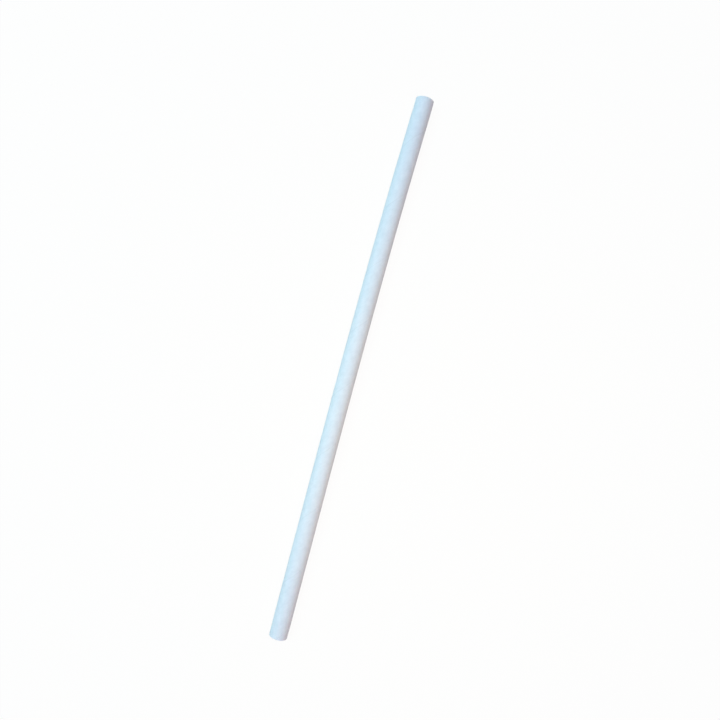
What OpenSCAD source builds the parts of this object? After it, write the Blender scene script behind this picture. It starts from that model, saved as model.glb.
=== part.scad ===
// Paper drinking straw: one tube wound from paper strips, with a slight bow.
// It lies along X on the plane z = 0, and its bow lies in that plane, towards +Y.

/* [Tube] */
// Length from one cut end to the other
straw_length = 197; // [140:1:250]
// Outside diameter
outer_diameter = 6.6; // [5.5:0.1:12]
// Thickness of the whole wall
wall = 0.4; // [0.3:0.05:0.8]
// How far the middle stands off a straight line between the ends
bow = 0.9; // [0.4:0.1:2]

/* [Winding] */
// Width of the outer paper strip
strip_width = 15.3; // [8:0.1:16]
// Thickness of the outer strip, which is the depth of its seam
strip_thickness = 0.1; // [0.06:0.01:0.15]
// Gap left between the edges of the strip where two turns meet
seam_gap = 0.2; // [0.1:0.05:0.5]
// Distance from the +X end to where the seam first crosses the top
seam_start = 15; // [0:0.5:20]

/* [Cut ends] */
// Length that the cutter presses true at each end
pressed_length = 4; // [2:0.5:8]
// Least depth that the cutter presses into the wall, inside and outside
pressed_depth = 0.01; // [0.005:0.005:0.03]

/* [Hidden] */

round_fn = 96;
bow_steps = 32;
outer_r = outer_diameter / 2;
bore_r = outer_r - wall;

// The axis is one arc through both ends, about a centre far out on -Y
half_length = straw_length / 2;
bow_r = (pow(half_length, 2) + pow(bow, 2)) / (2 * bow);
// A little more arc than the straw needs, which the square ends cut off
spare = 2;
spare_bend = asin((half_length + spare) / bow_r);
bow_fn = ceil(bow_steps * 360 / (2 * spare_bend));

// Over a pressed end the bowed axis drifts sideways, and the true end lies in the middle of that drift
end_drift = axis_y(half_length - pressed_length) - axis_y(half_length);
press = end_drift / 2 + pressed_depth;

// The strip's edges meet along a right-handed helix
circumference = PI * outer_diameter;
seam_lead = strip_width * circumference / sqrt(pow(circumference, 2) - pow(strip_width, 2));
seam_gap_along = seam_gap * sqrt(pow(circumference, 2) + pow(seam_lead, 2)) / circumference;
seam_steps = 36;
seam_clear = 0.2;
// The cutter presses the seam shut, so it stops a little way before each pressed end
seam_stop = 0.5;

// The box of the bowed straw is centred over the origin and stands on z = 0
lift = [0, -(bow + end_drift) / 2, outer_r];

// Sideways place of the axis at x, 0 at the ends and bow in the middle
function axis_y(x) = sqrt(pow(bow_r, 2) - pow(x, 2)) - bow_r + bow;

// A point at distance r from the axis and turned by angle about it, at x
function on_wall(x, r, angle) = [x, axis_y(x) + r * cos(angle), r * sin(angle)];

// The four corners of the seam's section where the helix has turned by angle past the top
function seam_corners(angle) =
  let (x = half_length - seam_start + seam_lead * angle / 360, side = seam_gap_along / 2)
  [
    on_wall(x - side, outer_r - strip_thickness, 90 + angle),
    on_wall(x + side, outer_r - strip_thickness, 90 + angle),
    on_wall(x + side, outer_r + seam_clear, 90 + angle),
    on_wall(x - side, outer_r + seam_clear, 90 + angle)
  ];

module bowed_tube() {
  translate([0, bow - bow_r, 0])
    rotate_extrude(angle = 2 * spare_bend, start = 90 - spare_bend, $fn = bow_fn)
      translate([bow_r, 0]) difference() {
        circle(r = outer_r, $fn = round_fn);
        circle(r = bore_r, $fn = round_fn);
      }
}

module seam() {
  shut = pressed_length + seam_stop;
  first = (seam_start + shut - straw_length) / seam_lead * 360;
  last = (seam_start - shut) / seam_lead * 360;
  count = ceil((last - first) / 360 * seam_steps);
  points = [for (i = [0:count]) each seam_corners(first + (last - first) * i / count)];
  sides = [
    for (i = [0:count - 1], j = [0:3])
      [4 * i + j, 4 * i + (j + 1) % 4, 4 * i + 4 + (j + 1) % 4, 4 * i + 4 + j]
  ];
  polyhedron(points, concat([[3, 2, 1, 0]], sides, [[for (j = [0:3]) 4 * count + j]]));
}

// What the cutter takes away at the +X end: the spare arc, and a skin of the wall inside and outside
module cut_end() {
  over = 1;
  reach = 2 * outer_r;
  translate([half_length, 0, 0]) rotate([0, 90, 0]) {
    cylinder(h = 2 * spare, r = reach, $fn = round_fn);
    translate([0, end_drift / 2, -pressed_length]) {
      cylinder(h = pressed_length + over, r = bore_r + press, $fn = round_fn);
      difference() {
        cylinder(h = pressed_length + over, r = reach, $fn = round_fn);
        translate([0, 0, -over])
          cylinder(h = pressed_length + 3 * over, r = outer_r - press, $fn = round_fn);
      }
    }
  }
}

module straw() {
  color([0.95, 0.96, 0.97]) translate(lift) difference() {
    bowed_tube();
    cut_end();
    mirror([1, 0, 0]) cut_end();
    seam();
  }
}

straw();
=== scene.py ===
# A white paper drinking straw on a pale table, seen from straight above.
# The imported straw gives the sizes, and a finely wound paper tube takes its place.
from math import atan2, cos, hypot, radians, remainder, sin, sqrt, tau

import bmesh
import bpy
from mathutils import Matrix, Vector, noise


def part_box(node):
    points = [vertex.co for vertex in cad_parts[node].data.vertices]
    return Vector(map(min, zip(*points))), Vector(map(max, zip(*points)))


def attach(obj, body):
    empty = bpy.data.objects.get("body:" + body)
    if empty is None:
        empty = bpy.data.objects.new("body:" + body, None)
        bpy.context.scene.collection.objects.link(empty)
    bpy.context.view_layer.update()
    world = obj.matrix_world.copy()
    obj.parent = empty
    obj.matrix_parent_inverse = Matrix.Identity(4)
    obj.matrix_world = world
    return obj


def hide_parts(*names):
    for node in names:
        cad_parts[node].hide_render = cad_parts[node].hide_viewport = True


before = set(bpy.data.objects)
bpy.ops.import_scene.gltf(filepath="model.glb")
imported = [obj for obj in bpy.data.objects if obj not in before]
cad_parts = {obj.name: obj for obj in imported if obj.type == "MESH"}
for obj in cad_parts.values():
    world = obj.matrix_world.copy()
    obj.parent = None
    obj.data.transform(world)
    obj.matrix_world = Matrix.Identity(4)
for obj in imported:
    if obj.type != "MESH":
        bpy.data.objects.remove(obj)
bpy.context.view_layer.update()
print("packed straw loaded")

mm = 0.001

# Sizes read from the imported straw
strawLow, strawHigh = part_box("straw")
length = strawHigh[0] - strawLow[0]
halfLength = length / 2
outerRadius = (strawHigh[2] - strawLow[2]) / 2

# The paper tube: how it is wound, cut and bowed
tube = {
    "wall": 0.4 * mm,
    "pressedLength": 4 * mm,  # stretch that the cutter presses at each end
    "pressedBy": 0.045 * mm,
    "pressedFade": 1.6 * mm,  # over which a pressed end swells back to full size
    "stripWidth": 15.3 * mm,  # outer paper strip
    "seamStart": 15 * mm,  # from the upper end to where the seam first crosses the top
    "seamWidth": 0.08 * mm,  # gap between the strip's edges
    "seamWander": 6 * mm,  # over which the gap widens and narrows
    "seamDepth": 0.05 * mm,
    "edgeRoll": 0.4 * mm,  # over which the strip's edges turn down to the seam
    "edgeDrop": 0.012 * mm,
    "middleShift": 0.68,  # places of the hidden strips' seams, as shares of a turn
    "innerShift": 0.36,
    "hiddenDip": 0.009 * mm,  # how far a hidden seam shows through
    "hiddenDipWidth": 0.9 * mm,
    "innerSeam": (0.04 * mm, 0.09 * mm),  # half width of the bore's seam at its bottom and its top
    "sway": 0.010 * mm,  # unevenness of the paper
    "broadSway": 9 * mm,
    "fineSway": 2.5 * mm,
    "boreSway": 0.006 * mm,
    "boreSwaySize": 5 * mm,
    "skin": 0.003 * mm,  # kept free below the true outside, so that nothing stands proud
    "bowSkew": 0.48,  # the bow is stronger towards the upper end
    "columns": 120,  # mesh columns round the outside
    "boreColumns": 72,
}

circumference = tau * outerRadius
lead = tube["stripWidth"] * circumference / sqrt(circumference ** 2 - tube["stripWidth"] ** 2)
turnLength = hypot(circumference, lead)  # along the strip, once round

straightFrom = halfLength - tube["pressedLength"] / 2  # past it a pressed end runs straight
skew = tube["bowSkew"]


def rise(share):  # the bow's form: 0 at the ends, about 1 in the middle
    return (1 - share ** 2) * (1 + skew * share)


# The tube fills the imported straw's width, from just inside the lower end to the fullest place of the bow
highest = rise((sqrt(1 + 3 * skew ** 2) - 1) / (3 * skew))
lowest = rise((tube["pressedLength"] + tube["pressedFade"]) / halfLength - 1)
bow = (strawHigh[1] - strawLow[1] - 2 * outerRadius) / (highest - lowest)
endSide = strawLow[1] + outerRadius - bow * lowest


def axisSide(x):  # sideways place of the tube's axis
    return endSide + bow * rise(min(max(x, -straightFrom), straightFrom) / halfLength)


def smoothStep(low, high, value):
    share = min(max((value - low) / (high - low), 0), 1)
    return share * share * (3 - 2 * share)


def pressed(x):  # 1 in a pressed end, 0 past it
    start = tube["pressedLength"]
    return 1 - smoothStep(start, start + tube["pressedFade"], halfLength - abs(x))


def dip(distance, width):  # a soft hollow, 1 at its middle
    return 1 - smoothStep(0, width, abs(distance))


def toSeam(offset, shift):  # along the axis, to the nearest seam of a strip
    turns = offset / lead - shift
    return (turns - round(turns)) * lead


def unevenness(place, size):
    return noise.noise(Vector(place) / size)


def outsideRadius(x, angle, offset):
    place = (x, outerRadius * cos(angle), outerRadius * sin(angle))
    seam = abs(toSeam(offset, 0))
    wander = 0.7 + 0.5 * unevenness(place, tube["seamWander"])
    gap = tube["seamWidth"] * turnLength / circumference * wander
    parted = (1 - smoothStep(gap * 0.4, gap * 0.8, seam)) * (1 - 0.5 * pressed(x))
    radius = outerRadius - tube["skin"] - tube["pressedBy"] * pressed(x)
    radius -= tube["seamDepth"] * parted + tube["edgeDrop"] * dip(seam, tube["edgeRoll"])
    for shift in (tube["middleShift"], tube["innerShift"]):
        radius -= tube["hiddenDip"] * dip(toSeam(offset, shift), tube["hiddenDipWidth"])
    broad = unevenness(place, tube["broadSway"])
    fine = unevenness(place, tube["fineSway"])
    return radius - tube["sway"] * (0.5 + 0.35 * broad + 0.15 * fine)


def boreRadius(x, angle, offset):
    place = (x, outerRadius * cos(angle), outerRadius * sin(angle))
    seam = abs(toSeam(offset, tube["innerShift"]))
    radius = outerRadius - tube["wall"] + tube["pressedBy"] * pressed(x)
    radius += tube["seamDepth"] * (1 - smoothStep(*tube["innerSeam"], seam)) * (1 - pressed(x))
    return radius + tube["boreSway"] * unevenness(place, tube["boreSwaySize"])


# Places of the mesh lines over one turn: close together at the seam, even over the rest.
# The steps are in mm
def stripLines(shift, fine, coarse):
    seam = shift * lead
    lines = {round((seam + side * step * mm) % lead, 9) for step in fine for side in (-1, 1)}
    stretch = lead - 2 * fine[-1] * mm
    count = round(stretch / (coarse * mm))
    lines |= {round((seam + fine[-1] * mm + stretch * n / count) % lead, 9) for n in range(1, count)}
    return sorted(lines)


# A wall whose mesh lines run along the paper strip, longer than the straw at both ends.
# Its map gives, in mm, how far along the strip and how far across it a point lies.
def woundWall(name, wallRadius, columns, lines, outward):
    start = halfLength - tube["seamStart"]
    firstTurn = -int((start + halfLength) / lead) - 3
    lastTurn = int((halfLength - start) / lead) + 3
    offsets = [turn * lead + line for turn in range(firstTurn, lastTurn) for line in lines]
    inTurn = len(lines)
    points = []
    for offset in offsets:
        for column in range(columns):
            angle = tau * column / columns
            x = start + offset + lead * angle / tau
            held = min(max(x, -halfLength), halfLength)
            radius = wallRadius(held, angle, offset)
            points.append((x, axisSide(held) - radius * sin(angle), outerRadius + radius * cos(angle)))
    quads = []
    places = []
    for row in range(len(offsets) - 1 - inTurn):
        for column in range(columns):
            corners = [(row, column), (row, column + 1), (row + 1, column + 1), (row + 1, column)]
            if not outward:
                corners.reverse()
            joined = [(r + inTurn, 0) if c == columns else (r, c) for r, c in corners]
            quads.append([r * columns + c for r, c in joined])
            for r, c in corners:
                turn = firstTurn + row // inTurn
                into = offsets[r] - turn * lead
                along = into * lead / turnLength + (turn + c / columns) * turnLength
                places += [along / mm, into * circumference / turnLength / mm]
    mesh = bpy.data.meshes.new(name)
    mesh.from_pydata(points, [], quads)
    mesh.uv_layers.new(name="strip").data.foreach_set("uv", places)
    return mesh


# The cut end: shares of the wall from the outside in, and how far each ring lies back, in mm
cutEnd = {
    "profile": [(0.03, 0.012), (0.08, 0.004), (0.15, 0.0), (0.24, 0.003), (0.31, 0.010), (0.335, 0.026),
                (0.36, 0.010), (0.44, 0.001), (0.56, 0.002), (0.64, 0.010), (0.665, 0.028), (0.69, 0.010),
                (0.77, 0.002), (0.86, 0.001), (0.93, 0.006), (0.965, 0.016)],
    "rimBack": 0.035 * mm,  # the rims lie back a little, rounded by the knife
    "rimRings": (0.03 * mm, 0.09 * mm, 0.27 * mm),  # close rings keep the shading true at the rim
    "rough": 0.012 * mm,  # roughness of the cut paper
    "roughSize": 0.25 * mm,
}
rimPlace = halfLength - cutEnd["rimBack"]


def cutAcross(form, x, side, clear):
    whole = form.verts[:] + form.edges[:] + form.faces[:]
    bmesh.ops.bisect_plane(form, geom=whole, dist=1e-8, plane_co=(x, 0, 0), plane_no=(side, 0, 0),
                           clear_outer=clear)


def cutSquare(form):
    for side in (-1, 1):
        cutAcross(form, side * rimPlace, side, True)
        for inset in cutEnd["rimRings"]:
            cutAcross(form, side * (rimPlace - inset), side, False)


def turnOf(vert):
    return atan2(vert.co.z - outerRadius, vert.co.y - axisSide(vert.co.x)) % tau


def rimOf(verts, side):
    return sorted((vert for vert in verts if abs(vert.co.x - side * rimPlace) < 1e-7), key=turnOf)


# Joins two rings with different numbers of points, always taking the nearer next point
def zipRings(ringA, ringB, makeFace):
    ringA = sorted(ringA, key=turnOf)
    ringB = sorted(ringB, key=turnOf)
    a = b = 0
    while a < len(ringA) or b < len(ringB):
        nextA = turnOf(ringA[(a + 1) % len(ringA)]) + tau * ((a + 1) // len(ringA))
        nextB = turnOf(ringB[(b + 1) % len(ringB)]) + tau * ((b + 1) // len(ringB))
        hereA = ringA[a % len(ringA)]
        hereB = ringB[b % len(ringB)]
        if b >= len(ringB) or (a < len(ringA) and nextA <= nextB):
            makeFace([hereA, ringA[(a + 1) % len(ringA)], hereB])
            a += 1
        else:
            makeFace([hereA, ringB[(b + 1) % len(ringB)], hereB])
            b += 1


def capEnd(form, side, outerRim, boreRim, stripMap):
    middle = axisSide(side * halfLength)
    innerSize = outerRadius - tube["wall"] + tube["pressedBy"]

    def addFace(verts):
        face = form.faces.new(verts)
        face.material_index = 1
        face.smooth = True
        face.normal_update()
        if face.normal.x * side < 0:
            face.normal_flip()
        first = turnOf(face.loops[0].vert)
        for loop in face.loops:
            turn = first + remainder(turnOf(loop.vert) - first, tau)  # runs on past a full turn
            across = hypot(loop.vert.co.y - middle, loop.vert.co.z - outerRadius)
            loop[stripMap].uv = (turn * outerRadius / mm, (outerRadius - across) / mm)

    ring = outerRim
    for share, back in cutEnd["profile"]:
        newRing = []
        for vert in outerRim:
            turn = turnOf(vert)
            outer = hypot(vert.co.y - middle, vert.co.z - outerRadius)
            across = outer + (innerSize - outer) * share
            y = across * cos(turn)
            z = across * sin(turn)
            torn = unevenness((side * 10 * mm + share * 0.75 * mm, y, z), cutEnd["roughSize"])
            x = side * (halfLength - back * mm - cutEnd["rough"] * (0.5 + 0.5 * torn))
            newRing.append(form.verts.new((x, middle + y, outerRadius + z)))
        for n in range(len(ring)):
            m = (n + 1) % len(ring)
            addFace([ring[n], ring[m], newRing[m], newRing[n]])
        ring = newRing
    zipRings(ring, boreRim, addFace)


print("paper tube set out: lead", round(lead / mm, 2), "mm, bow", round(bow / mm, 2), "mm")

outsideLines = stripLines(0, (0, 0.03, 0.05, 0.075, 0.11, 0.2, 0.35, 0.6), 0.8)
outside = woundWall("outside", outsideRadius, tube["columns"], outsideLines, True)
boreLines = stripLines(tube["innerShift"], (0, 0.04, 0.09, 0.3), 1.6)
bore = woundWall("bore", boreRadius, tube["boreColumns"], boreLines, False)

form = bmesh.new()
form.from_mesh(outside)
for face in form.faces:
    face.material_index = 0
cutSquare(form)
outerRims = [rimOf(form.verts, side) for side in (-1, 1)]
outerVerts = set(form.verts)

boreForm = bmesh.new()
boreForm.from_mesh(bore)
for face in boreForm.faces:
    face.material_index = 2
cutSquare(boreForm)
boreForm.to_mesh(bore)
boreForm.free()
form.from_mesh(bore)
boreRims = [rimOf(set(form.verts) - outerVerts, side) for side in (-1, 1)]
print("walls wound and cut square")

stripMap = form.loops.layers.uv["strip"]
for side, outerRim, boreRim in zip((-1, 1), outerRims, boreRims):
    capEnd(form, side, outerRim, boreRim, stripMap)
for face in form.faces:
    face.smooth = True
strawMesh = bpy.data.meshes.new("paperStraw")
form.to_mesh(strawMesh)
form.free()
for spare in (outside, bore):
    bpy.data.meshes.remove(spare)
paperStraw = bpy.data.objects.new("paperStraw", strawMesh)
bpy.context.scene.collection.objects.link(paperStraw)
print("straw built:", len(strawMesh.polygons), "faces")

# Paper colours, in linear values, and how much they vary.
# The sizes of clouds, fibres and grain are repeats in a mm along the strip and across it
paper = {
    "white": (0.785, 0.85, 0.925, 1),
    "shade": (0.735, 0.80, 0.875, 1),  # thin places in the sheet
    "roughness": (0.62, 0.78),
    "specular": 0.3,
    "clouds": (0.45, 0.62, 1),
    "fibres": (0.7, 6.5, 1),
    "grain": (9, 14, 1),
    "relief": 0.02 * mm,  # of the fibres and grain
    # painted shade: next to the seam groove the outer paper's colour is darkened to this share, over the
    # distances below in mm
    "paintedSeamShade": 0.93,
    "paintedSeamShadeWidth": (0.04, 0.14),  # mm
    "cutWhite": (0.75, 0.80, 0.86, 1),
    "cutShade": (0.64, 0.70, 0.76, 1),
    "boreWhite": (0.75, 0.81, 0.88, 1),
    "boreShade": (0.71, 0.77, 0.84, 1),
}


def paperMaterial(name, light, dark, paintsSeamShade):
    material = bpy.data.materials.new(name)
    material.use_nodes = True
    nodes = material.node_tree.nodes
    links = material.node_tree.links
    surface = nodes["Principled BSDF"]
    surface.inputs["Specular IOR Level"].default_value = paper["specular"]

    def paperNoise(label, detail, roughness):  # on the strip's map
        mapping = nodes.new("ShaderNodeMapping")
        mapping.label = label
        mapping.inputs["Scale"].default_value = paper[label]
        links.new(stripPlace.outputs["UV"], mapping.inputs["Vector"])
        texture = nodes.new("ShaderNodeTexNoise")
        texture.inputs["Scale"].default_value = 1
        texture.inputs["Detail"].default_value = detail
        texture.inputs["Roughness"].default_value = roughness
        links.new(mapping.outputs["Vector"], texture.inputs["Vector"])
        return texture.outputs["Fac"]

    def spread(value, low, high, toLow=0, toHigh=1):
        mapRange = nodes.new("ShaderNodeMapRange")
        mapRange.interpolation_type = "SMOOTHSTEP"
        mapRange.inputs["From Min"].default_value = low
        mapRange.inputs["From Max"].default_value = high
        mapRange.inputs["To Min"].default_value = toLow
        mapRange.inputs["To Max"].default_value = toHigh
        links.new(value, mapRange.inputs["Value"])
        return mapRange.outputs["Result"]

    def combine(kind, first, second):
        sumNode = nodes.new("ShaderNodeMath")
        sumNode.operation = kind
        links.new(first, sumNode.inputs[0])
        if isinstance(second, float):
            sumNode.inputs[1].default_value = second
        else:
            links.new(second, sumNode.inputs[1])
        return sumNode.outputs[0]

    stripPlace = nodes.new("ShaderNodeUVMap")
    stripPlace.uv_map = "strip"
    clouds = paperNoise("clouds", 4, 0.55)
    fibres = paperNoise("fibres", 5, 0.6)
    grain = paperNoise("grain", 3, 0.6)
    tone = combine("ADD", combine("MULTIPLY", fibres, 0.5), combine("MULTIPLY", clouds, 0.5))
    colour = nodes.new("ShaderNodeMix")
    colour.data_type = "RGBA"
    colour.inputs["A"].default_value = dark
    colour.inputs["B"].default_value = light
    links.new(spread(tone, 0.38, 0.6), colour.inputs["Factor"])
    baseColour = colour.outputs["Result"]
    # painted shade in the seam groove: the base colour is darkened towards the strip's edges
    if paintsSeamShade:
        split = nodes.new("ShaderNodeSeparateXYZ")
        links.new(stripPlace.outputs["UV"], split.inputs["Vector"])
        toEdge = combine("PINGPONG", split.outputs["Y"], tube["stripWidth"] / mm / 2)
        shade = nodes.new("ShaderNodeMix")
        shade.data_type = "RGBA"
        shade.blend_type = "MULTIPLY"
        shade.inputs["Factor"].default_value = 1
        links.new(baseColour, shade.inputs["A"])
        links.new(spread(toEdge, *paper["paintedSeamShadeWidth"], paper["paintedSeamShade"], 1), shade.inputs["B"])
        baseColour = shade.outputs["Result"]
    links.new(baseColour, surface.inputs["Base Color"])
    links.new(spread(grain, 0.3, 0.7, *paper["roughness"]), surface.inputs["Roughness"])
    height = combine("ADD", combine("MULTIPLY", fibres, 0.6), combine("MULTIPLY", grain, 0.4))
    bump = nodes.new("ShaderNodeBump")
    bump.inputs["Strength"].default_value = 1
    bump.inputs["Distance"].default_value = paper["relief"]
    links.new(height, bump.inputs["Height"])
    links.new(bump.outputs["Normal"], surface.inputs["Normal"])
    return material


strawMesh.materials.append(paperMaterial("outerPaper", paper["white"], paper["shade"], True))
strawMesh.materials.append(paperMaterial("cutPaper", paper["cutWhite"], paper["cutShade"], False))
strawMesh.materials.append(paperMaterial("borePaper", paper["boreWhite"], paper["boreShade"], False))
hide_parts("straw")
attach(paperStraw, "root")
print("paper finished")

# Table, light and camera
table = {
    "size": 4,  # m
    "colour": (0.95, 0.90, 0.80, 1),
    "shownWhite": 0.95,  # share of the white that the camera sees in place of the lit table
}
light = {
    "ambient": (0.2, 0.2, 0.2, 1),
    "brightness": 7,  # W at a distance of 1 m for a colour of 1
    # Angles are in degrees from straight above towards the left, and the rest is in m.
    # Along is how far the lamp stands towards the straw's upper end
    "key": {"colour": (0.5, 0.902, 1.028), "angle": 30, "distance": 1, "size": 0.62, "along": 0.08},
    "fill": {"colour": (0.285, 0.105, 0.22), "angle": -15, "distance": 1, "size": 0.62, "along": -0.25},
    "near": {"colour": (0.422, 0.362, 0.18), "angle": -15, "distance": 0.16, "size": 0.1, "along": -0.022},
}
view = {
    "lean": -74.66,  # degrees about the vertical: the straw leans 15.34 degrees from upright
    "place": (3.6 * mm, -2.56 * mm),
    "height": 208 * mm,  # above the straw's axis
    "width": 255.5 * mm,  # seen at the axis
}


def seenWhite(nodes, links):  # 1 for what the camera, gloss and glass see
    path = nodes.new("ShaderNodeLightPath")
    gloss = nodes.new("ShaderNodeMath")
    gloss.operation = "MAXIMUM"
    links.new(path.outputs["Is Glossy Ray"], gloss.inputs[0])
    links.new(path.outputs["Is Transmission Ray"], gloss.inputs[1])
    seen = nodes.new("ShaderNodeMath")
    seen.operation = "MAXIMUM"
    links.new(path.outputs["Is Camera Ray"], seen.inputs[0])
    links.new(gloss.outputs[0], seen.inputs[1])
    return seen.outputs[0]


tableMesh = bpy.data.meshes.new("table")
edge = table["size"] / 2
corners = [(-edge, -edge, 0), (edge, -edge, 0), (edge, edge, 0), (-edge, edge, 0)]
tableMesh.from_pydata(corners, [], [(0, 1, 2, 3)])
tableTop = bpy.data.objects.new("table", tableMesh)
bpy.context.scene.collection.objects.link(tableTop)
tablePaint = bpy.data.materials.new("tablePaint")
tablePaint.use_nodes = True
nodes = tablePaint.node_tree.nodes
links = tablePaint.node_tree.links
nodes.remove(nodes["Principled BSDF"])
matt = nodes.new("ShaderNodeBsdfDiffuse")
matt.inputs["Color"].default_value = table["colour"]
white = nodes.new("ShaderNodeEmission")
white.inputs["Color"].default_value = (1, 1, 1, 1)
blend = nodes.new("ShaderNodeMixShader")
whiteShare = nodes.new("ShaderNodeMath")
whiteShare.operation = "MULTIPLY"
whiteShare.inputs[1].default_value = table["shownWhite"]
links.new(seenWhite(nodes, links), whiteShare.inputs[0])
links.new(whiteShare.outputs[0], blend.inputs["Fac"])
links.new(matt.outputs["BSDF"], blend.inputs[1])
links.new(white.outputs["Emission"], blend.inputs[2])
links.new(blend.outputs["Shader"], nodes["Material Output"].inputs["Surface"])
tableMesh.materials.append(tablePaint)

world = bpy.data.worlds.new("studio")
world.use_nodes = True
bpy.context.scene.world = world
nodes = world.node_tree.nodes
links = world.node_tree.links
air = nodes["Background"]
mix = nodes.new("ShaderNodeMix")
mix.data_type = "RGBA"
mix.inputs["A"].default_value = light["ambient"]
mix.inputs["B"].default_value = (1, 1, 1, 1)
links.new(seenWhite(nodes, links), mix.inputs["Factor"])
links.new(mix.outputs["Result"], air.inputs["Color"])

leftward = Vector((0, 1, 0))  # in the picture, square to the straw


def addLamp(name):
    lamp = light[name]
    strongest = max(lamp["colour"])
    data = bpy.data.lights.new(name, "AREA")
    data.shape = "DISK"
    data.size = lamp["size"]
    data.color = [value / strongest for value in lamp["colour"]]
    data.energy = light["brightness"] * strongest * lamp["distance"] ** 2
    turn = radians(lamp["angle"])
    aim = (leftward * sin(turn) + Vector((0, 0, cos(turn)))) * lamp["distance"]
    place = bpy.data.objects.new(name, data)
    place.location = aim + Vector((lamp["along"], 0, 0))
    place.rotation_euler = aim.to_track_quat("Z", "Y").to_euler()
    place.visible_camera = False
    bpy.context.scene.collection.objects.link(place)


for name in ("key", "fill", "near"):
    addLamp(name)

camera = bpy.data.cameras.new("camera")
camera.sensor_width = 36
camera.lens = camera.sensor_width * view["height"] / view["width"]
camera.clip_start = 0.01
cameraObject = bpy.data.objects.new("camera", camera)
cameraObject.location = (*view["place"], outerRadius + view["height"])
cameraObject.rotation_euler = (0, 0, radians(view["lean"]))
bpy.context.scene.collection.objects.link(cameraObject)
bpy.context.scene.camera = cameraObject

bpy.context.scene.view_settings.view_transform = "Standard"
print("table, light and camera set")
